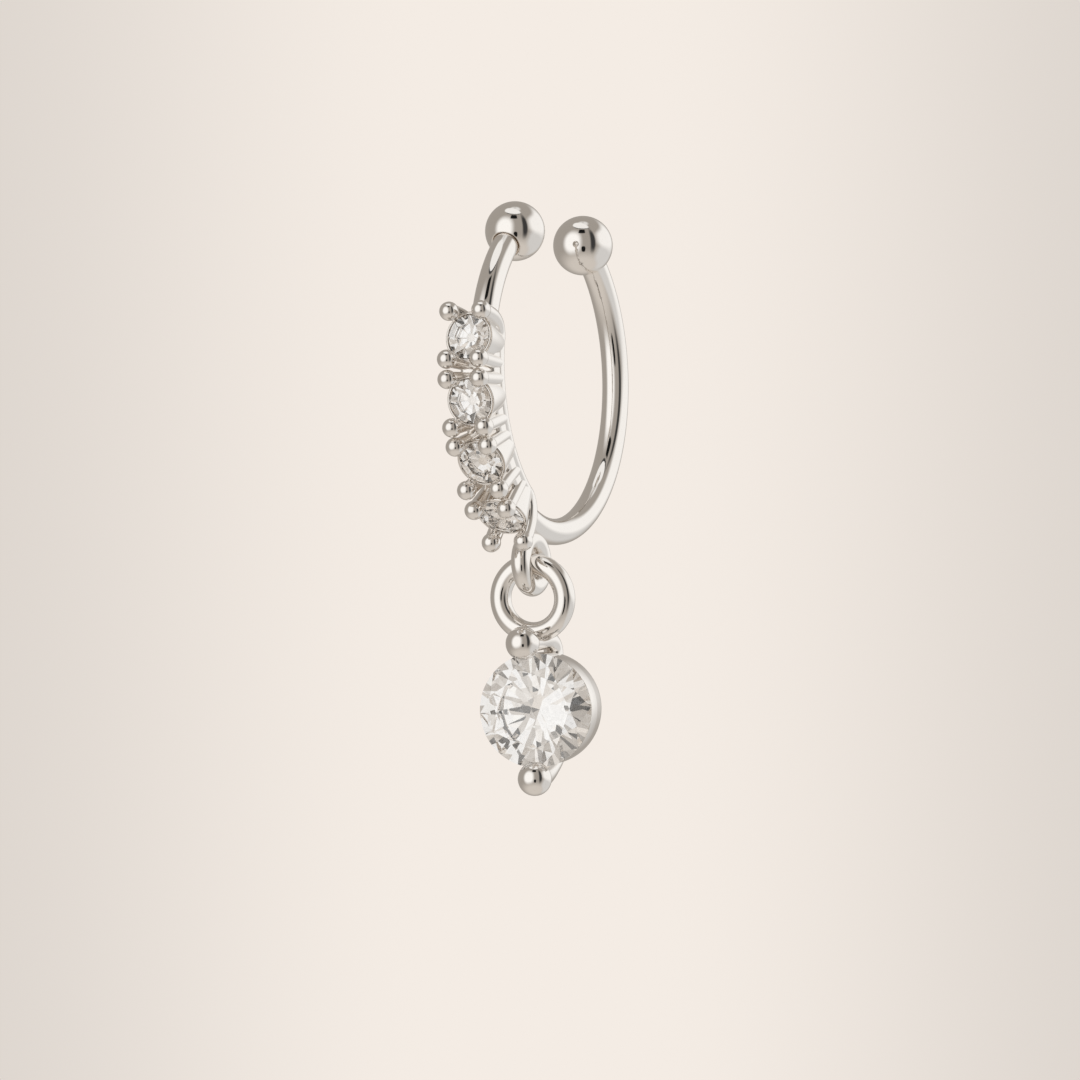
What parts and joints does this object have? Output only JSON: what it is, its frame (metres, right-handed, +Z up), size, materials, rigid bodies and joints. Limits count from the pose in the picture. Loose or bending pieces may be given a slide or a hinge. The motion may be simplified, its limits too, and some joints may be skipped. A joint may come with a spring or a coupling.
{
  "type": "faux nose ring",
  "caption": "Clip-on nose ring: an open oval hoop with bead ends, a claw-set row of round stones down one side and a hanging drop with a larger round stone.",
  "frame": {"origin": "middle of the gap between the two end beads, where the ring grips the nose", "axes": "+Z up as worn; the hoop lies in the X-Z plane, with the stone row on its -X side and +Y across it"},
  "size_m": [0.0126, 0.0041, 0.0202],
  "materials": {
    "polished_metal": "mirror-polished white metal plating",
    "clear_stone": "clear brilliant-cut stone"
  },
  "bodies": {
    "ring": {"ring_frame": "polished_metal", "end_bead_front": "polished_metal", "end_bead_back": "polished_metal", "row_stone_1": "clear_stone", "row_stone_2": "clear_stone", "row_stone_3": "clear_stone", "row_stone_4": "clear_stone"},
    "drop": {"drop_setting": "polished_metal", "drop_stone": "clear_stone"}
  },
  "joints": [
    {"name": "drop_swing", "type": "hinge", "parent": "ring", "child": "drop", "pos_m": [-0.00138, 0, -0.01205], "axis": [1, 0, 0], "range_deg": [-45, 45]}
  ]
}
